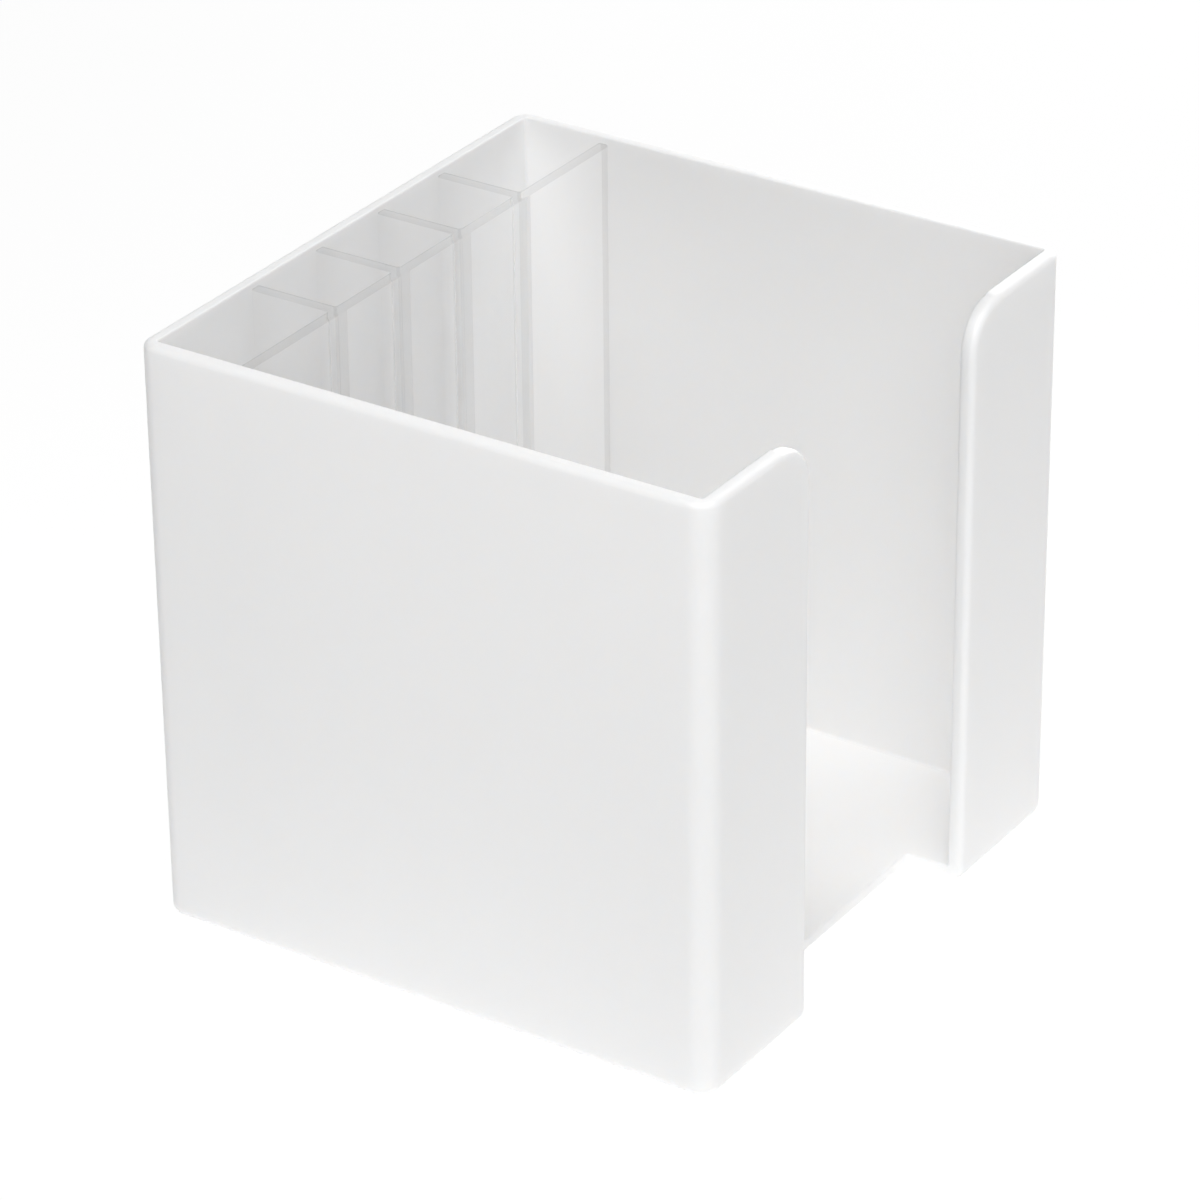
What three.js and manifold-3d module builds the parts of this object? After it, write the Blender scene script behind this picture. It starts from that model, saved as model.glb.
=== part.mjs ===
// A desk memo box with a pen holder: an open-topped white box, open at the front, and a clear divider
// that makes a row of pen cells along the box's back wall.
// Millimetres, +Z up. The origin is on the underside, in the middle of the plan. The open front faces -Y.

import * as THREE from "three";
import { mergeVertices } from "three/addons/utils/BufferGeometryUtils.js";
import Module from "manifold-3d";

// Box, outside and walls
const boxWidth = 103;
const boxDepth = 101;
const boxHeight = 100;
const wallThickness = 2.2;
const frontWallThickness = 2.5;
const floorThickness = 2.4;
const frontCornerRadius = 3.8;
const backCornerRadius = 2.8;
const insideCornerRadius = 0.5;
const bottomEdgeRadius = 2.2;
const rimOuterRadius = 1.1;
const rimInnerRadius = 0.3;

// Open front, between the two returns, and the finger notch in the floor
const openingWidth = 47.2;
const returnTopRadius = 7.2;
const notchDepth = 10;
const notchCornerRadius = 1;

// Low step that the mould leaves across a return's rim, where its round top corner starts
const stepHeight = 0.3;
const stepLength = 0.6;

// Pen divider: a plate across the box, with ribs that run back to the back wall
const plateThickness = 1.8;
const ribThickness = 1.8;
const ribPitch = 16.6;
const ribCount = 4;
const ribRootRadius = 0.5;
const plateEndRadius = 0.5;
const penCellDepth = 14.8;
const dividerBelowRim = 0.8;
const dividerFit = 0.3;
const plateEndGap = 0.6;

// Stops at the foot of the side walls, which keep the divider's plate from coming forward
const stopLength = 1.5;
const stopThickness = 1.2;
const stopHeight = 12;

// How far a cut runs past the faces that it opens, and how finely round stretches are stepped
const overrun = 1;
const cornerSteps = 4;
const edgeSteps = 4;

const halfWidth = boxWidth / 2;
const halfDepth = boxDepth / 2;
const insideHalfWidth = halfWidth - wallThickness;
const insideFront = -halfDepth + frontWallThickness;
const insideBack = halfDepth - wallThickness;
const openingHalfWidth = openingWidth / 2;
const plateBack = insideBack - penCellDepth;
const plateFront = plateBack - plateThickness;

// A round edge is kept smaller than the corner that it runs round, and the rim's rounds fit in its wall.
const edgeToCornerShare = 0.9;
const outerRimToWallShare = 0.55;
const innerRimToWallShare = 0.35;
const thinnerWall = Math.min(wallThickness, frontWallThickness);
const largestEdge = Math.min(frontCornerRadius, backCornerRadius) * edgeToCornerShare;
const bottomRound = Math.min(bottomEdgeRadius, largestEdge);
const rimOuterRound = Math.min(rimOuterRadius, thinnerWall * outerRimToWallShare, largestEdge);
const rimInnerRound = Math.min(rimInnerRadius, thinnerWall * innerRimToWallShare);

const quarterTurn = Math.PI / 2;
const wasm = await Module();
wasm.setup();

// A closed three.js geometry as a manifold-3d solid.
function toSolid(geometry) {
  geometry.deleteAttribute("normal");
  geometry.deleteAttribute("uv");
  const merged = mergeVertices(geometry);
  const triVerts = new Uint32Array(merged.index.array);
  return new wasm.Manifold(
    new wasm.Mesh({ numProp: 3, vertProperties: merged.attributes.position.array, triVerts }),
  );
}

// A manifold-3d solid as a three.js geometry with flat faces.
function toGeometry(solid) {
  const made = solid.getMesh();
  const geometry = new THREE.BufferGeometry();
  geometry.setAttribute("position", new THREE.BufferAttribute(made.vertProperties, made.numProp));
  geometry.setIndex(new THREE.BufferAttribute(made.triVerts, 1));
  const faceted = geometry.toNonIndexed();
  faceted.computeVertexNormals();
  return faceted;
}

// The plan of a box, moved in by inset all round. Its front corners can be rounder than its back ones.
function boxPlan(width, depth, frontRadius, backRadius, inset) {
  const x = width / 2 - inset;
  const y = depth / 2 - inset;
  const front = frontRadius - inset;
  const back = backRadius - inset;
  const plan = new THREE.Shape();
  plan.absarc(-x + front, -y + front, front, 2 * quarterTurn, 3 * quarterTurn);
  plan.absarc(x - front, -y + front, front, 3 * quarterTurn, 4 * quarterTurn);
  plan.absarc(x - back, y - back, back, 0, quarterTurn);
  plan.absarc(-x + back, y - back, back, quarterTurn, 2 * quarterTurn);
  return plan.getPoints(cornerSteps);
}

// The levels of a quarter round of that radius: how far it moves in, and how far it rises.
function quarterRound(radius) {
  return Array.from({ length: edgeSteps + 1 }, (_, step) => {
    const angle = (step / edgeSteps) * quarterTurn;
    return { inset: radius * (1 - Math.cos(angle)), rise: radius * Math.sin(angle) };
  });
}

// A solid through a stack of plans, lowest first. Each level is { plan, z }, with as many points.
function stackPlans(levels) {
  const rings = levels.map(({ plan, z }) => plan.map((point) => new THREE.Vector3(point.x, point.y, z)));
  const count = rings[0].length;
  const corners = [];
  for (let level = 1; level < rings.length; level++) {
    const below = rings[level - 1];
    const above = rings[level];
    for (let i = 0; i < count; i++) {
      const next = (i + 1) % count;
      corners.push(below[i], below[next], above[next], below[i], above[next], above[i]);
    }
  }
  const top = rings[rings.length - 1];
  for (const [a, b, c] of THREE.ShapeUtils.triangulateShape(levels[0].plan, [])) {
    corners.push(rings[0][c], rings[0][b], rings[0][a], top[a], top[b], top[c]);
  }
  return toSolid(new THREE.BufferGeometry().setFromPoints(corners));
}

// A flat outline raised from z by height.
function raise(shape, z, height) {
  const geometry = new THREE.ExtrudeGeometry(shape, {
    depth: height,
    bevelEnabled: false,
    curveSegments: cornerSteps,
  });
  return geometry.translate(0, 0, z);
}

// The outside of the box, with its round bottom edge and the rim's outer round.
function boxOutside() {
  const plan = (inset) => boxPlan(boxWidth, boxDepth, frontCornerRadius, backCornerRadius, inset);
  const bottom = quarterRound(bottomRound).reverse();
  const rim = quarterRound(rimOuterRound);
  return stackPlans([
    ...bottom.map(({ inset, rise }) => ({ plan: plan(inset), z: bottomRound - rise })),
    ...rim.map(({ inset, rise }) => ({ plan: plan(inset), z: boxHeight - rimOuterRound + rise })),
  ]);
}

// The hollow of the box, which opens out round the rim's inner round.
function boxInside() {
  const radius = insideCornerRadius;
  const depth = insideBack - insideFront;
  const plan = (inset) => boxPlan(2 * insideHalfWidth, depth, radius, radius, inset);
  const rim = quarterRound(rimInnerRound);
  const hollow = stackPlans([
    { plan: plan(0), z: floorThickness },
    ...rim.map(({ inset, rise }) => ({ plan: plan(-inset), z: boxHeight - rimInnerRound + rise })),
    { plan: plan(-rimInnerRound), z: boxHeight + overrun },
  ]);
  return hollow.translate([0, (insideFront + insideBack) / 2, 0]);
}

// The gap between the returns, right down through the front wall. It flares at the rim, over the
// returns' round corners, and ends in the low step.
function frontOpening() {
  const x = openingHalfWidth;
  const radius = returnTopRadius;
  const arcEnd = x + radius;
  const arcHeight = boxHeight - stepHeight - radius;
  const outline = new THREE.Shape();
  outline.moveTo(-x, -overrun);
  outline.lineTo(x, -overrun);
  outline.absarc(arcEnd, arcHeight, radius, 2 * quarterTurn, quarterTurn, true);
  outline.lineTo(arcEnd + stepLength, boxHeight);
  outline.lineTo(arcEnd + stepLength, boxHeight + overrun);
  outline.lineTo(-arcEnd - stepLength, boxHeight + overrun);
  outline.lineTo(-arcEnd - stepLength, boxHeight);
  outline.absarc(-arcEnd, arcHeight, radius, quarterTurn, 0, true);
  const length = frontWallThickness + 2 * overrun;
  const cut = raise(outline, 0, length);
  return toSolid(cut.rotateX(quarterTurn).translate(0, insideFront + overrun, 0));
}

// The finger notch in the floor, with round inner corners.
function floorNotch() {
  const x = openingHalfWidth;
  const front = -halfDepth - overrun;
  const back = -halfDepth + notchDepth;
  const radius = notchCornerRadius;
  const outline = new THREE.Shape();
  outline.moveTo(-x, front);
  outline.lineTo(x, front);
  outline.absarc(x - radius, back - radius, radius, 0, quarterTurn);
  outline.absarc(-x + radius, back - radius, radius, quarterTurn, 2 * quarterTurn);
  return toSolid(raise(outline, -overrun, floorThickness + 2 * overrun));
}

// One stop for the divider, on the side wall that side points to: 1 for +X, -1 for -X. It is rooted in
// the wall and in the floor.
function dividerStop(side) {
  const root = wallThickness / 2;
  const depthInFloor = floorThickness / 2;
  const geometry = new THREE.BoxGeometry(stopLength + root, stopThickness, stopHeight + depthInFloor);
  const x = insideHalfWidth + (root - stopLength) / 2;
  const y = plateFront - dividerFit - stopThickness / 2;
  const z = floorThickness + (stopHeight - depthInFloor) / 2;
  return toSolid(geometry.translate(side * x, y, z));
}

function boxBody() {
  return boxOutside()
    .subtract(boxInside())
    .subtract(frontOpening().add(floorNotch()))
    .add(dividerStop(1))
    .add(dividerStop(-1));
}

// The divider's comb-shaped plan, from its plate's front face round its end, and back along the ribs.
function dividerPlan() {
  const end = insideHalfWidth - plateEndGap;
  const ribEnd = insideBack - dividerFit;
  const round = Math.min(plateEndRadius, plateThickness / 2);
  const root = ribRootRadius;
  const plan = new THREE.Shape();
  plan.absarc(-end + round, plateFront + round, round, 2 * quarterTurn, 3 * quarterTurn);
  plan.absarc(end - round, plateFront + round, round, 3 * quarterTurn, 4 * quarterTurn);
  plan.absarc(end - round, plateBack - round, round, 0, quarterTurn);
  for (let rib = ribCount - 1; rib >= 0; rib--) {
    const middle = (rib - (ribCount - 1) / 2) * ribPitch;
    const right = middle + ribThickness / 2;
    const left = middle - ribThickness / 2;
    plan.absarc(right + root, plateBack + root, root, 3 * quarterTurn, 2 * quarterTurn, true);
    plan.lineTo(right, ribEnd);
    plan.lineTo(left, ribEnd);
    plan.absarc(left - root, plateBack + root, root, 0, -quarterTurn, true);
  }
  plan.absarc(-end + round, plateBack - round, round, quarterTurn, 2 * quarterTurn);
  return plan;
}

function penDivider() {
  const foot = floorThickness + dividerFit;
  return toSolid(raise(dividerPlan(), foot, boxHeight - dividerBelowRim - foot));
}

function piece(name, solid, look) {
  const mesh = new THREE.Mesh(toGeometry(solid), new THREE.MeshStandardMaterial(look));
  mesh.name = name;
  return mesh;
}

const memoBox = new THREE.Group();
memoBox.add(piece("box_body", boxBody(), { color: "#efeeee", roughness: 0.4, metalness: 0 }));
memoBox.add(
  piece("pen_divider", penDivider(), {
    color: "#f2f4f4",
    roughness: 0.08,
    metalness: 0,
    transparent: true,
    opacity: 0.35,
  }),
);

export default memoBox;
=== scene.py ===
import math

import bmesh
import bpy
from mathutils import Matrix, Vector


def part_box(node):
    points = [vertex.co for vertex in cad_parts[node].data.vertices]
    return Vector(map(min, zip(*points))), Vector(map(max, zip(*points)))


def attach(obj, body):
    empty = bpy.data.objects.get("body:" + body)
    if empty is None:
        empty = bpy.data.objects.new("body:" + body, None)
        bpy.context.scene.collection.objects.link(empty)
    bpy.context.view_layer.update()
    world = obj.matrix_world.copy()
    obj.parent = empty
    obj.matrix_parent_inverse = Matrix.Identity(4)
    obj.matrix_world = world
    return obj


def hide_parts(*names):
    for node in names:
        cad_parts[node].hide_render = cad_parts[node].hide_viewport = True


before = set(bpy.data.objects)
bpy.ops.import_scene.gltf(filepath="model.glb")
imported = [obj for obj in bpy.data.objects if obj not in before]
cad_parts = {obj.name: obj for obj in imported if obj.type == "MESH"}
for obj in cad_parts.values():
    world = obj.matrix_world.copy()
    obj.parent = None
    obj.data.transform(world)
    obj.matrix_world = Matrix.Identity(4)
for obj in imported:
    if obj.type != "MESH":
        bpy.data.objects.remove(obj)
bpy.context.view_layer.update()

MM = 0.001

# The photograph's viewing angle, from a camera fit to the box's edges
photo_side_px = 1200
focal_px = 5528
sensor_width_mm = 36
view_azimuth = math.radians(-56.504)
view_elevation = math.radians(28.388)
view_roll = math.radians(-0.597)
view_distance = 885.07 * MM
aim_right = -2.13 * MM
aim_up = 41.66 * MM

# Box: its outside is the CAD node's, and its walls are these
box_low, box_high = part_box("box_body")
wall = 2.2 * MM
front_wall = 2.5 * MM
floor_thickness = 2.4 * MM
front_corner_radius = 3.8 * MM
back_corner_radius = 2.8 * MM
inside_corner_radius = 0.5 * MM
inside_foot_radius = 0.4 * MM
bottom_edge_radius = 2.2 * MM
opening_half_width = 23.6 * MM
return_top_radius = 7.2 * MM
notch_depth = 10 * MM
notch_corner_radius = 1 * MM

# Low step that the mould leaves across a return's rim, where its round top corner starts
step_height = 0.3 * MM
step_length = 0.6 * MM

# Rounds of the box's cut edges, as the mould leaves them
outer_edge_round = 1.1 * MM
inner_edge_round = 0.3 * MM
stop_edge_round = 0.3 * MM

# Stops for the divider at the foot of the side walls
stop_length = 1.5 * MM
stop_thickness = 1.2 * MM
stop_height = 12 * MM
stop_clearance = 0.3 * MM

# Divider: its outside is the CAD node's
divider_low, divider_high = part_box("pen_divider")
plate_thickness = 1.8 * MM
rib_count = 4
rib_pitch = 16.6 * MM
rib_thickness = 1.8 * MM
rib_root_radius = 0.5 * MM
rib_foot_depth = plate_thickness / 3
plate_end_radius = 0.5 * MM
divider_edge_round = 0.2 * MM

# How finely rounds are stepped, and how far a cut runs past the faces that it opens
corner_steps = 12
edge_steps = 8
bevel_steps = 5
overrun = 1 * MM
quarter_turn = math.pi / 2

# Faces within flat_angle are one flat, points within same_point are one, and an edge over a piece's
# sharp angle gets its round. Shading keeps the flats flat by this much.
flat_angle = math.radians(0.5)
same_point = 1e-6
box_sharp_angle = math.radians(35)
divider_sharp_angle = math.radians(50)
flats_weight = 100

inside_half_x = box_high.x - wall
inside_front = box_low.y + front_wall
inside_back = box_high.y - wall
plate_back = divider_low.y + plate_thickness

# White moulded polystyrene, whose tone and gloss drift a little over the plastic's flow
white_tones = ("#f6f6f6", "#f8f8f8")
white_roughness = (0.34, 0.42)
milky_depth = (2.2, 2.1, 2)
flow_length = 30 * MM
flow_detail = 3
sink_strength = 0.2
sink_depth = 0.05 * MM
grain_size = 0.35 * MM
grain_detail = 2
grain_strength = 0.15
grain_depth = 0.01 * MM
polystyrene_index = 1.59

# Clear moulded polystyrene, whose edges and rib roots carry painted shade, greyer than its faces, for the
# dark bands that refraction shows there. A lamp's light loses lamp_tone's share on its way through, and
# the painted shade reaches this deep below the top and in from the plate's ends.
clear_roughness = 0.02
clear_index = 1.04
clear_coat = 0.25
clear_coat_index = 1.5
clear_waves = 0.1
clear_flow_detail = 1
lamp_tone = "#f4f4f4"
face_tone = "#ffffff"
# Painted shade: grey for the plate's ends and rib roots, and a darker grey for the top
painted_band_shade_tone = "#efefef"
painted_top_shade_tone = "#ebebeb"
painted_shade_depth = 0.3 * MM
painted_end_shade_depth = 0.05 * MM

# Softboxes: name, azimuth and elevation in degrees as a view's are, distance and side in metres, watts
light_aim = Vector((0, 0, 50 * MM))
softboxes = (
    ("left_high", -75, 62, 1.2, 0.8, 7.3),
    ("left_middle", -56, 36, 1.2, 0.8, 3.3),
    ("front_high", 0, 60, 1.2, 0.8, 3.7),
    ("front_low", -10, 15, 1.0, 0.6, 0.4),
    ("right_low", 98, 17, 1.0, 0.6, 5.5),
)

# White table, which looks as white as the backdrop and keeps a faint shadow. Its glow up at the box is
# painted light: an emission, strongest under the box, that lights it from below.
table_half_side = 3
table_colour = "#f4f4f4"
table_white = 1.03
table_white_share = 0.85
painted_glow_level = 0.33
painted_glow_reach = 155 * MM

# White backdrop: the light that it gives the object, against the white that a straight look sees
backdrop_light = 0.03

# How often light may bounce: it crosses a white box many times before it is spent, and zigzags down
# inside the clear plate
all_bounces = 40
dull_bounces = 10
gloss_bounces = 32


def linear(hex_colour):
    """An sRGB hex colour as linear red, green, blue and alpha."""
    shares = [int(hex_colour[i:i + 2], 16) / 255 for i in (1, 3, 5)]
    return (*[c / 12.92 if c <= 0.04045 else ((c + 0.055) / 1.055) ** 2.4 for c in shares], 1)


def make_camera():
    """The camera of the photograph, which turns about the view's own axis by the roll."""
    level = math.cos(view_elevation)
    across, along = math.sin(view_azimuth) * level, -math.cos(view_azimuth) * level
    back = Vector((across, along, math.sin(view_elevation)))
    flat_right = Vector((math.cos(view_azimuth), math.sin(view_azimuth), 0))
    flat_up = back.cross(flat_right)
    right = flat_right * math.cos(view_roll) + flat_up * math.sin(view_roll)
    up = flat_up * math.cos(view_roll) - flat_right * math.sin(view_roll)
    data = bpy.data.cameras.new("photo_view")
    data.sensor_width = sensor_width_mm
    data.lens = sensor_width_mm * focal_px / photo_side_px
    camera = bpy.data.objects.new("photo_view", data)
    place = right * aim_right + up * aim_up + back * view_distance
    camera.matrix_world = Matrix.Translation(place) @ Matrix((right, up, back)).transposed().to_4x4()
    bpy.context.scene.collection.objects.link(camera)
    bpy.context.scene.camera = camera


def add_node(tree, kind, inputs=None, links=None, **settings):
    """Adds a node, with its settings, its inputs' own values and the sockets that feed its inputs."""
    node = tree.nodes.new(kind)
    for name, value in settings.items():
        setattr(node, name, value)
    for name, value in (inputs or {}).items():
        node.inputs[name].default_value = value
    for name, socket in (links or {}).items():
        tree.links.new(socket, node.inputs[name])
    return node


def maths(tree, operation, *values):
    """The result of a Math node on sockets and plain numbers."""
    node = add_node(tree, "ShaderNodeMath", operation=operation)
    for number, value in enumerate(values):
        if isinstance(value, bpy.types.NodeSocket):
            tree.links.new(value, node.inputs[number])
        else:
            node.inputs[number].default_value = value
    return node.outputs[0]


def new_material(name):
    """An empty node material, and its tree."""
    material = bpy.data.materials.new(name)
    material.use_nodes = True
    material.node_tree.nodes.clear()
    return material, material.node_tree


def new_object(name, mesh):
    """A mesh as an object of the scene, at the origin."""
    made = bpy.data.objects.new(name, mesh)
    bpy.context.scene.collection.objects.link(made)
    return made


def arc(centre_x, centre_y, radius, start, end, steps):
    """Points of an arc in a plan, from the start angle to the end angle."""
    angles = [start + (end - start) * step / steps for step in range(steps + 1)]
    return [(centre_x + radius * math.cos(a), centre_y + radius * math.sin(a)) for a in angles]


def box_plan(half_x, front_y, back_y, front_radius, back_radius, inset=0):
    """A rectangle with round corners, moved in by inset all round."""
    x = half_x - inset
    front, back = front_radius - inset, back_radius - inset
    corners = (
        (-x + front, front_y + inset + front, front, 2),
        (x - front, front_y + inset + front, front, 3),
        (x - back, back_y - inset - back, back, 4),
        (-x + back, back_y - inset - back, back, 5),
    )
    plan = []
    for cx, cy, radius, quarter in corners:
        plan += arc(cx, cy, radius, quarter * quarter_turn, (quarter + 1) * quarter_turn, corner_steps)
    return plan


def solid(name, rings):
    """A closed solid through rings of points, which all have as many points and turn the same way."""
    mesh = bmesh.new()
    loops = [[mesh.verts.new(point) for point in ring] for ring in rings]
    for below, above in zip(loops, loops[1:]):
        for i in range(len(below)):
            j = (i + 1) % len(below)
            mesh.faces.new((below[i], below[j], above[j], above[i]))
    mesh.faces.new(reversed(loops[0]))
    mesh.faces.new(loops[-1])
    bmesh.ops.recalc_face_normals(mesh, faces=mesh.faces)
    data = bpy.data.meshes.new(name)
    mesh.to_mesh(data)
    mesh.free()
    return new_object(name, data)


def at_height(plan, z):
    """A plan's points at that height."""
    return [(x, y, z) for x, y in plan]


def bake_modifiers(piece):
    """Turns a piece's modifiers into its mesh."""
    depsgraph = bpy.context.evaluated_depsgraph_get()
    mesh = bpy.data.meshes.new_from_object(piece.evaluated_get(depsgraph))
    piece.modifiers.clear()
    piece.data = mesh


def combine(piece, tool, operation):
    """Cuts the tool out of the piece, or joins it on, and removes the tool."""
    modifier = piece.modifiers.new("combine", "BOOLEAN")
    modifier.object = tool
    modifier.operation = operation
    modifier.solver = "EXACT"
    bake_modifiers(piece)
    bpy.data.objects.remove(tool)


def round_edges(piece, width_of, least_angle):
    """Rounds each edge that is sharper than least_angle, by the width that width_of gives for it."""
    widths = {}
    mesh = bmesh.new()
    mesh.from_mesh(piece.data)
    bmesh.ops.dissolve_degenerate(mesh, dist=same_point, edges=mesh.edges)
    bmesh.ops.dissolve_limit(mesh, angle_limit=flat_angle, verts=mesh.verts, edges=mesh.edges)
    mesh.edges.index_update()
    for edge in mesh.edges:
        if len(edge.link_faces) == 2 and edge.calc_face_angle() > least_angle:
            widths[edge.index] = width_of(edge)
    widest = max(widths.values())
    weight = mesh.edges.layers.float.new("bevel_weight_edge")
    for edge in mesh.edges:
        edge[weight] = widths.get(edge.index, 0) / widest
    mesh.to_mesh(piece.data)
    mesh.free()
    bevel = piece.modifiers.new("rounds", "BEVEL")
    bevel.limit_method = "WEIGHT"
    bevel.width = widest
    bevel.segments = bevel_steps
    bevel.use_clamp_overlap = False
    bake_modifiers(piece)


def smooth(piece):
    """Shades the piece round, with the flats kept flat by their area."""
    piece.data.polygons.foreach_set("use_smooth", [True] * len(piece.data.polygons))
    weighted = piece.modifiers.new("flats", "WEIGHTED_NORMAL")
    weighted.weight = flats_weight
    bake_modifiers(piece)


def box_outside():
    """The outside of the box, round along its bottom edge."""
    plan = (box_high.x, box_low.y, box_high.y, front_corner_radius, back_corner_radius)
    rings = []
    for step in range(edge_steps, -1, -1):
        angle = step / edge_steps * quarter_turn
        inset = bottom_edge_radius * (1 - math.cos(angle))
        z = bottom_edge_radius * (1 - math.sin(angle))
        rings.append(at_height(box_plan(*plan, inset), z))
    return solid("box_body_white", [*rings, at_height(box_plan(*plan), box_high.z)])


def box_inside():
    """The hollow of the box, with a small round where the walls meet the floor."""
    plan = (inside_half_x, inside_front, inside_back, inside_corner_radius, inside_corner_radius)
    rings = []
    for step in range(edge_steps, -1, -1):
        angle = step / edge_steps * quarter_turn
        inset = inside_foot_radius * (1 - math.cos(angle))
        z = floor_thickness + inside_foot_radius * (1 - math.sin(angle))
        rings.append(at_height(box_plan(*plan, inset), z))
    return solid("inside", [*rings, at_height(box_plan(*plan), box_high.z + overrun)])


def front_opening():
    """The gap between the returns, which flares over their round top corners up to the low step."""
    x = opening_half_width
    radius = return_top_radius
    arc_end = x + radius
    arc_height = box_high.z - step_height - radius
    flare = [(arc_end + step_length, box_high.z), (arc_end + step_length, box_high.z + overrun)]
    outline = [(-x, -overrun), (x, -overrun)]
    outline += arc(arc_end, arc_height, radius, 2 * quarter_turn, quarter_turn, corner_steps)
    outline += flare
    outline += [(-px, pz) for px, pz in reversed(flare)]
    outline += arc(-arc_end, arc_height, radius, quarter_turn, 0, corner_steps)
    faces = (inside_front + overrun, box_low.y - overrun)
    return solid("opening", [[(px, y, pz) for px, pz in outline] for y in faces])


def floor_notch():
    """The finger notch in the floor, with round inner corners."""
    x = opening_half_width
    back = box_low.y + notch_depth
    radius = notch_corner_radius
    outline = [(-x, box_low.y - overrun), (x, box_low.y - overrun)]
    outline += arc(x - radius, back - radius, radius, 0, quarter_turn, corner_steps)
    outline += arc(-x + radius, back - radius, radius, quarter_turn, 2 * quarter_turn, corner_steps)
    return solid("notch", [at_height(outline, z) for z in (-overrun, floor_thickness + overrun)])


def divider_stop(side):
    """One stop, rooted in its side wall and in the floor. Side is 1 for +X and -1 for -X."""
    near = side * (inside_half_x - stop_length)
    far = side * (inside_half_x + wall / 2)
    back = divider_low.y - stop_clearance
    outline = [(near, back - stop_thickness), (far, back - stop_thickness), (far, back), (near, back)]
    heights = (floor_thickness / 2, floor_thickness + stop_height)
    return solid("stop", [at_height(outline, z) for z in heights])


def box_edge_width(edge):
    """How round an edge of the box is: the outer ones most, the inner ones less, and the stops' least."""
    middle = (edge.verts[0].co + edge.verts[1].co) / 2
    by_stop = abs(middle.y - divider_low.y) < stop_thickness + 2 * stop_clearance
    if by_stop and abs(middle.x) < inside_half_x + inside_foot_radius and middle.z < box_high.z / 2:
        return stop_edge_round
    depth = max(abs(middle.x) - inside_half_x, inside_front - middle.y, middle.y - inside_back,
                floor_thickness - middle.z)
    return inner_edge_round if depth < wall / 2 else outer_edge_round


def make_box():
    """The white box: one hollow moulding, with its open front, finger notch and stops, and round edges."""
    body = box_outside()
    combine(body, box_inside(), "DIFFERENCE")
    combine(body, front_opening(), "DIFFERENCE")
    combine(body, floor_notch(), "DIFFERENCE")
    for side in (1, -1):
        combine(body, divider_stop(side), "UNION")
    round_edges(body, box_edge_width, box_sharp_angle)
    smooth(body)
    return body


def rib_solid():
    """One rib with its round roots, centred on X = 0. Its foot is sunk in the plate."""
    back = divider_high.y
    half = rib_thickness / 2
    root = rib_root_radius
    sunk = plate_back - rib_foot_depth
    outline = [(-half - root, sunk), (half + root, sunk)]
    outline += arc(half + root, plate_back + root, root, 3 * quarter_turn, 2 * quarter_turn, edge_steps)
    outline += [(half, back), (-half, back)]
    outline += arc(-half - root, plate_back + root, root, 4 * quarter_turn, 3 * quarter_turn, edge_steps)
    return solid("rib", [at_height(outline, z) for z in (divider_low.z, divider_high.z)])


def plate_solid():
    """The divider's plate, with its round ends."""
    radius = plate_end_radius
    x, front = divider_high.x, divider_low.y
    outline = arc(-x + radius, front + radius, radius, 2 * quarter_turn, 3 * quarter_turn, edge_steps)
    outline += arc(x - radius, front + radius, radius, 3 * quarter_turn, 4 * quarter_turn, edge_steps)
    outline += arc(x - radius, plate_back - radius, radius, 0, quarter_turn, edge_steps)
    outline += arc(-x + radius, plate_back - radius, radius, quarter_turn, 2 * quarter_turn, edge_steps)
    return solid("pen_divider_clear", [at_height(outline, z) for z in (divider_low.z, divider_high.z)])


def rib_row_tree(material):
    """Geometry Nodes that stand a row of ribs on the plate and join them to it."""
    tree = bpy.data.node_groups.new("rib_row", "GeometryNodeTree")
    socket = tree.interface.new_socket
    socket("Geometry", in_out="OUTPUT", socket_type="NodeSocketGeometry")
    socket("Plate", in_out="INPUT", socket_type="NodeSocketGeometry")
    socket("Rib", in_out="INPUT", socket_type="NodeSocketObject")
    socket("Rib count", in_out="INPUT", socket_type="NodeSocketInt")
    socket("Rib pitch", in_out="INPUT", socket_type="NodeSocketFloat")
    given = add_node(tree, "NodeGroupInput").outputs
    gaps = maths(tree, "SUBTRACT", given["Rib count"], 1)
    span = maths(tree, "MULTIPLY", gaps, given["Rib pitch"])
    start = add_node(tree, "ShaderNodeCombineXYZ", links={"X": maths(tree, "MULTIPLY", span, -0.5)})
    step = add_node(tree, "ShaderNodeCombineXYZ", links={"X": given["Rib pitch"]})
    row = add_node(tree, "GeometryNodeMeshLine", links={
        "Count": given["Rib count"], "Start Location": start.outputs[0], "Offset": step.outputs[0]})
    rib = add_node(tree, "GeometryNodeObjectInfo", links={"Object": given["Rib"]})
    ribs = add_node(tree, "GeometryNodeInstanceOnPoints", links={
        "Points": row.outputs["Mesh"], "Instance": rib.outputs["Geometry"]})
    loose = add_node(tree, "GeometryNodeRealizeInstances", links={"Geometry": ribs.outputs[0]})
    joined = add_node(tree, "GeometryNodeMeshBoolean", operation="UNION", solver="EXACT")
    tree.links.new(given["Plate"], joined.inputs["Mesh 2"])
    tree.links.new(loose.outputs[0], joined.inputs["Mesh 2"])
    whole = add_node(tree, "GeometryNodeRealizeInstances", links={"Geometry": joined.outputs["Mesh"]})
    made = add_node(tree, "GeometryNodeSetMaterial", {"Material": material},
                    {"Geometry": whole.outputs[0]})
    add_node(tree, "NodeGroupOutput", links={"Geometry": made.outputs[0]})
    return tree


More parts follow.
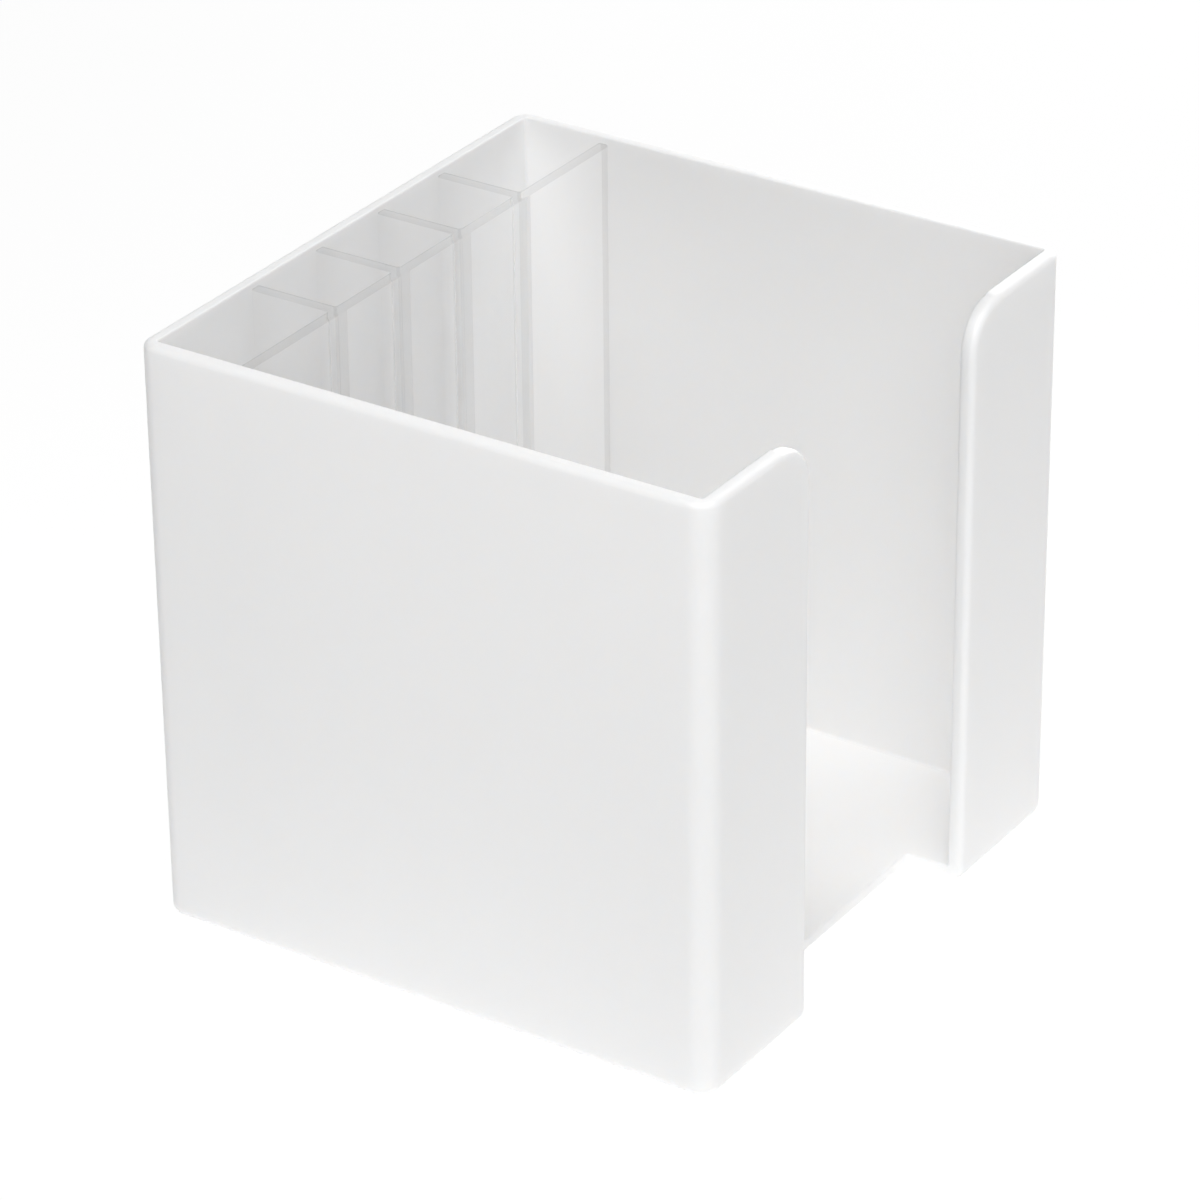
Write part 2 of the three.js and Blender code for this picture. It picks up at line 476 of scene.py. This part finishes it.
def make_divider(material):
    """The clear divider: a plate with its row of ribs as one moulding, with a fine round on its edges."""
    divider = plate_solid()
    rib = rib_solid()
    modifier = divider.modifiers.new("ribs", "NODES")
    modifier.node_group = rib_row_tree(material)
    values = {"Rib": rib, "Rib count": rib_count, "Rib pitch": rib_pitch}
    for item in modifier.node_group.interface.items_tree:
        if item.name in values:
            modifier[item.identifier] = values[item.name]
    bake_modifiers(divider)
    bpy.data.objects.remove(rib)
    round_edges(divider, lambda edge: divider_edge_round, divider_sharp_angle)
    smooth(divider)
    return divider


def white_polystyrene():
    """High-impact polystyrene, injection moulded in a finely eroded mould: an even, slightly milky white
    with a satin skin, whose grain is too fine to see and only softens the highlights."""
    material, tree = new_material("white_moulded_polystyrene")
    place = add_node(tree, "ShaderNodeTexCoord").outputs["Object"]
    flow = add_node(tree, "ShaderNodeTexNoise", {"Scale": 1 / flow_length, "Detail": flow_detail},
                    {"Vector": place})
    grain = add_node(tree, "ShaderNodeTexNoise", {"Scale": 1 / grain_size, "Detail": grain_detail},
                     {"Vector": place})
    tone = add_node(tree, "ShaderNodeMix", {"A": linear(white_tones[0]), "B": linear(white_tones[1])},
                    {"Factor": flow.outputs["Fac"]}, data_type="RGBA")
    rough = add_node(tree, "ShaderNodeMapRange", {
        "To Min": white_roughness[0], "To Max": white_roughness[1]}, {"Value": flow.outputs["Fac"]})
    sink = add_node(tree, "ShaderNodeBump", {"Strength": sink_strength, "Distance": sink_depth},
                    {"Height": flow.outputs["Fac"]})
    skin = add_node(tree, "ShaderNodeBump", {"Strength": grain_strength, "Distance": grain_depth},
                    {"Height": grain.outputs["Fac"], "Normal": sink.outputs["Normal"]})
    plastic = add_node(tree, "ShaderNodeBsdfPrincipled", {
        "IOR": polystyrene_index,
        "Subsurface Weight": 1,
        "Subsurface Scale": MM,
        "Subsurface Radius": milky_depth,
    }, {
        "Base Color": tone.outputs["Result"],
        "Roughness": rough.outputs["Result"],
        "Normal": skin.outputs["Normal"],
    })
    add_node(tree, "ShaderNodeOutputMaterial", links={"Surface": plastic.outputs["BSDF"]})
    return material


def painted_shade_edges(tree, place):
    """Where the painted shade goes: 1 on the divider's top and just below it, and 1 on its plate's ends.
    """
    top = maths(tree, "GREATER_THAN", place["Z"], divider_high.z - painted_shade_depth)
    across = maths(tree, "ABSOLUTE", place["X"])
    end = maths(tree, "GREATER_THAN", across, divider_high.x - painted_end_shade_depth)
    return top, end


def painted_root_shade_mask(tree, place):
    """1 on the plate where a rib joins it, where a band of painted shade goes."""
    row = rib_count / 2 * rib_pitch
    along = maths(tree, "WRAP", maths(tree, "ADD", place["X"], row), rib_pitch, 0)
    off_rib = maths(tree, "ABSOLUTE", maths(tree, "SUBTRACT", along, rib_pitch / 2))
    by_rib = maths(tree, "LESS_THAN", off_rib, rib_thickness / 2 + painted_shade_depth)
    in_row = maths(tree, "LESS_THAN", maths(tree, "ABSOLUTE", place["X"]), row)
    in_plate = maths(tree, "LESS_THAN", place["Y"], plate_back + rib_root_radius)
    return maths(tree, "MULTIPLY", maths(tree, "MULTIPLY", by_rib, in_row), in_plate)


def clear_polystyrene():
    """Crystal polystyrene, injection moulded in a polished mould: clear and thin, so what is behind it
    shows in its place. Its edges and rib roots carry a painted grey shade for the dark bands that
    refraction shows there.
    Lamps shine through it."""
    material, tree = new_material("clear_crystal_polystyrene")
    here = add_node(tree, "ShaderNodeTexCoord").outputs["Object"]
    place = add_node(tree, "ShaderNodeSeparateXYZ", links={"Vector": here}).outputs
    top, end = painted_shade_edges(tree, place)
    # Painted shade: the plate's ends and the rib roots turn grey, for the dark bands that refraction shows
    # there
    painted_band_mask = maths(tree, "MAXIMUM", end, painted_root_shade_mask(tree, place))
    painted_bands = add_node(tree, "ShaderNodeMix", {"A": linear(face_tone), "B": linear(painted_band_shade_tone)},
                      {"Factor": painted_band_mask}, data_type="RGBA")
    # Painted shade: the top turns a darker grey, for the dark band that refraction shows along it
    tone = add_node(tree, "ShaderNodeMix", {"B": linear(painted_top_shade_tone)},
                    {"Factor": top, "A": painted_bands.outputs["Result"]}, data_type="RGBA")
    flow = add_node(tree, "ShaderNodeTexNoise", {"Scale": 1 / flow_length, "Detail": clear_flow_detail},
                    {"Vector": here})
    waves = add_node(tree, "ShaderNodeBump", {"Strength": clear_waves, "Distance": sink_depth},
                     {"Height": flow.outputs["Fac"]})
    plastic = add_node(tree, "ShaderNodeBsdfPrincipled", {
        "Roughness": clear_roughness,
        "IOR": clear_index,
        "Transmission Weight": 1,
        "Coat Weight": clear_coat,
        "Coat IOR": clear_coat_index,
    }, {
        "Base Color": tone.outputs["Result"],
        "Coat Normal": waves.outputs["Normal"],
    })
    lamp_ray = add_node(tree, "ShaderNodeLightPath").outputs["Is Shadow Ray"]
    open_way = add_node(tree, "ShaderNodeBsdfTransparent", {"Color": linear(lamp_tone)})
    shown = add_node(tree, "ShaderNodeMixShader", links={
        0: lamp_ray, 1: plastic.outputs["BSDF"], 2: open_way.outputs[0]})
    add_node(tree, "ShaderNodeOutputMaterial", links={"Surface": shown.outputs[0]})
    return material


def shown_ray(tree):
    """1 for the rays that look at the backdrop, straight or in a gloss or through the clear plastic, and
    0 once they have bounced off a dull surface, so that the white backdrop lights nothing by itself."""
    path = add_node(tree, "ShaderNodeLightPath").outputs
    straight_or_gloss = maths(tree, "MAXIMUM", path["Is Camera Ray"], path["Is Glossy Ray"])
    looking = maths(tree, "MAXIMUM", straight_or_gloss, path["Is Transmission Ray"])
    return maths(tree, "MULTIPLY", looking, maths(tree, "LESS_THAN", path["Diffuse Depth"], 1))


def painted_glow_strength(tree):
    """The table's painted light, strongest under the box: an emission in place of the light that a white
    sweep would throw back.
    """
    place = add_node(tree, "ShaderNodeTexCoord").outputs["Object"]
    away = add_node(tree, "ShaderNodeVectorMath", {1: (1 / painted_glow_reach,) * 3}, {0: place},
                    operation="MULTIPLY")
    square = add_node(tree, "ShaderNodeVectorMath", links={0: away.outputs[0], 1: away.outputs[0]},
                      operation="DOT_PRODUCT")
    fade = maths(tree, "EXPONENT", maths(tree, "MULTIPLY", square.outputs["Value"], -1))
    return maths(tree, "MULTIPLY", fade, painted_glow_level)


def make_floor():
    """A white table, which the camera sees as white with a faint shadow of the box, and which gives off
    painted light up at the box.
    """
    material, tree = new_material("table_white")
    share = maths(tree, "MULTIPLY", shown_ray(tree), table_white_share)
    paint = add_node(tree, "ShaderNodeBsdfDiffuse", {"Color": linear(table_colour)})
    # Painted light: the table's emission, which lights the box from below
    painted_glow = add_node(tree, "ShaderNodeEmission", links={"Strength": painted_glow_strength(tree)})
    lit = add_node(tree, "ShaderNodeAddShader", links={0: paint.outputs[0], 1: painted_glow.outputs[0]})
    white = add_node(tree, "ShaderNodeEmission", {"Strength": table_white})
    mixed = add_node(tree, "ShaderNodeMixShader", links={
        0: share, 1: lit.outputs[0], 2: white.outputs[0]})
    add_node(tree, "ShaderNodeOutputMaterial", links={"Surface": mixed.outputs[0]})
    material.cycles.emission_sampling = "NONE"
    side = table_half_side
    corners = [(-side, -side, 0), (side, -side, 0), (side, side, 0), (-side, side, 0)]
    mesh = bpy.data.meshes.new("table")
    mesh.from_pydata(corners, [], [(0, 1, 2, 3)])
    mesh.materials.append(material)
    new_object("table", mesh)


def make_world():
    """A white backdrop that lights the object softly from all sides."""
    world = bpy.data.worlds.new("studio")
    world.use_nodes = True
    tree = world.node_tree
    tree.nodes.clear()
    strength = maths(tree, "MAXIMUM", shown_ray(tree), backdrop_light)
    white = add_node(tree, "ShaderNodeBackground", links={"Strength": strength})
    white.inputs["Color"].default_value = linear("#ffffff")
    add_node(tree, "ShaderNodeOutputWorld", links={"Surface": white.outputs[0]})
    world.cycles.sampling_method = "NONE"
    bpy.context.scene.world = world


def make_lights():
    """The softboxes, which face the object's middle and aren't seen through the clear plastic."""
    for name, azimuth, elevation, distance, side, watts in softboxes:
        turn = math.radians(azimuth)
        rise = math.radians(elevation)
        back = Vector((math.sin(turn) * math.cos(rise), -math.cos(turn) * math.cos(rise), math.sin(rise)))
        data = bpy.data.lights.new(name, "AREA")
        data.size = side
        data.energy = watts
        light = bpy.data.objects.new(name, data)
        light.visible_transmission = False
        place = Matrix.Translation(light_aim + back * distance)
        light.matrix_world = place @ back.to_track_quat("Z", "Y").to_matrix().to_4x4()
        bpy.context.scene.collection.objects.link(light)


make_camera()
make_floor()
make_world()
make_lights()

box_body = make_box()
box_body.data.materials.clear()
box_body.data.materials.append(white_polystyrene())
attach(box_body, "box")
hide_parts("box_body")

divider = make_divider(clear_polystyrene())
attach(divider, "divider")
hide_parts("pen_divider")

bpy.context.scene.view_settings.view_transform = "Standard"

bpy.context.scene.cycles.max_bounces = all_bounces
bpy.context.scene.cycles.diffuse_bounces = dull_bounces
bpy.context.scene.cycles.glossy_bounces = gloss_bounces
bpy.context.scene.cycles.transmission_bounces = gloss_bounces
